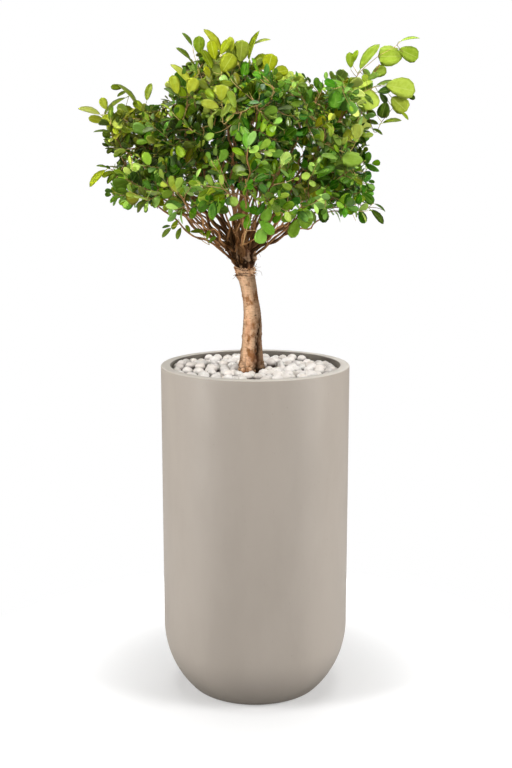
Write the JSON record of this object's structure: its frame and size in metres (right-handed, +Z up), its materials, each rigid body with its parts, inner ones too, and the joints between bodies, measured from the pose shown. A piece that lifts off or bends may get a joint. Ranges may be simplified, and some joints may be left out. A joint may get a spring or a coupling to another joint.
{
  "type": "potted standard fig tree",
  "caption": "Small-leaved fig grown as a standard: a loose round head on a clear stem, in a tall round-bottomed planter dressed with pebbles.",
  "frame": {"origin": "middle of the planter's flat foot, on the floor that it stands on", "axes": "+Z up along the planter's axis, -Y the front of the plant, +X to the right seen from the front"},
  "size_m": [0.6705, 0.6013, 1.3923],
  "materials": {
    "planter": "matt taupe body, smooth, with faint cloudiness and a slightly paler rim",
    "soil": "dark moist potting compost, crumbly and matt",
    "pebble": "rounded off-white pebbles, matt, a few cream or pinkish",
    "trunk_bark": "pale tan-orange bark with fine cross marks, small knots and a dark groove, darker and fibrous at the head",
    "bough_bark": "red-brown smooth bark with pale pores",
    "leaf_mature": "leathery glossy dark green leaves with a pale midrib",
    "leaf_young": "thin young leaves, yellow-green, satin"
  },
  "bodies": {
    "root": {"planter": "planter", "potting_soil": "soil", "pebble_dressing": "pebble", "trunk": "trunk_bark", "bough_low_right": "bough_bark", "bough_low_back_right": "bough_bark", "bough_low_back": "bough_bark", "bough_low_back_left": "bough_bark", "bough_low_left": "bough_bark", "bough_low_front_left": "bough_bark", "bough_low_front": "bough_bark", "bough_low_front_right": "bough_bark", "bough_mid_right": "bough_bark", "bough_mid_back_right": "bough_bark", "bough_mid_back": "bough_bark", "bough_mid_back_left": "bough_bark", "bough_mid_left": "bough_bark", "bough_mid_front_left": "bough_bark", "bough_mid_front": "bough_bark", "bough_mid_front_right": "bough_bark", "bough_mid_upper_right": "bough_bark", "bough_top_right": "bough_bark", "bough_top_back": "bough_bark", "bough_top_left": "bough_bark", "bough_top_heart": "bough_bark", "foliage_low_right": "leaf_mature", "foliage_low_back_right": "leaf_mature", "foliage_low_back": "leaf_mature", "foliage_low_back_left": "leaf_mature", "foliage_low_left": "leaf_mature", "foliage_low_front_left": "leaf_mature", "foliage_low_front": "leaf_mature", "foliage_low_front_right": "leaf_mature", "foliage_mid_right": "leaf_mature", "foliage_mid_back_right": "leaf_mature", "foliage_mid_back": "leaf_mature", "foliage_mid_back_left": "leaf_mature", "foliage_mid_left": "leaf_young", "foliage_mid_front_left": "leaf_mature", "foliage_mid_front": "leaf_mature", "foliage_mid_front_right": "leaf_mature", "foliage_mid_upper_right": "leaf_young", "foliage_top_right": "leaf_young", "foliage_top_back": "leaf_mature", "foliage_top_left": "leaf_young", "foliage_top_heart": "leaf_mature"}
  },
  "joints": []
}
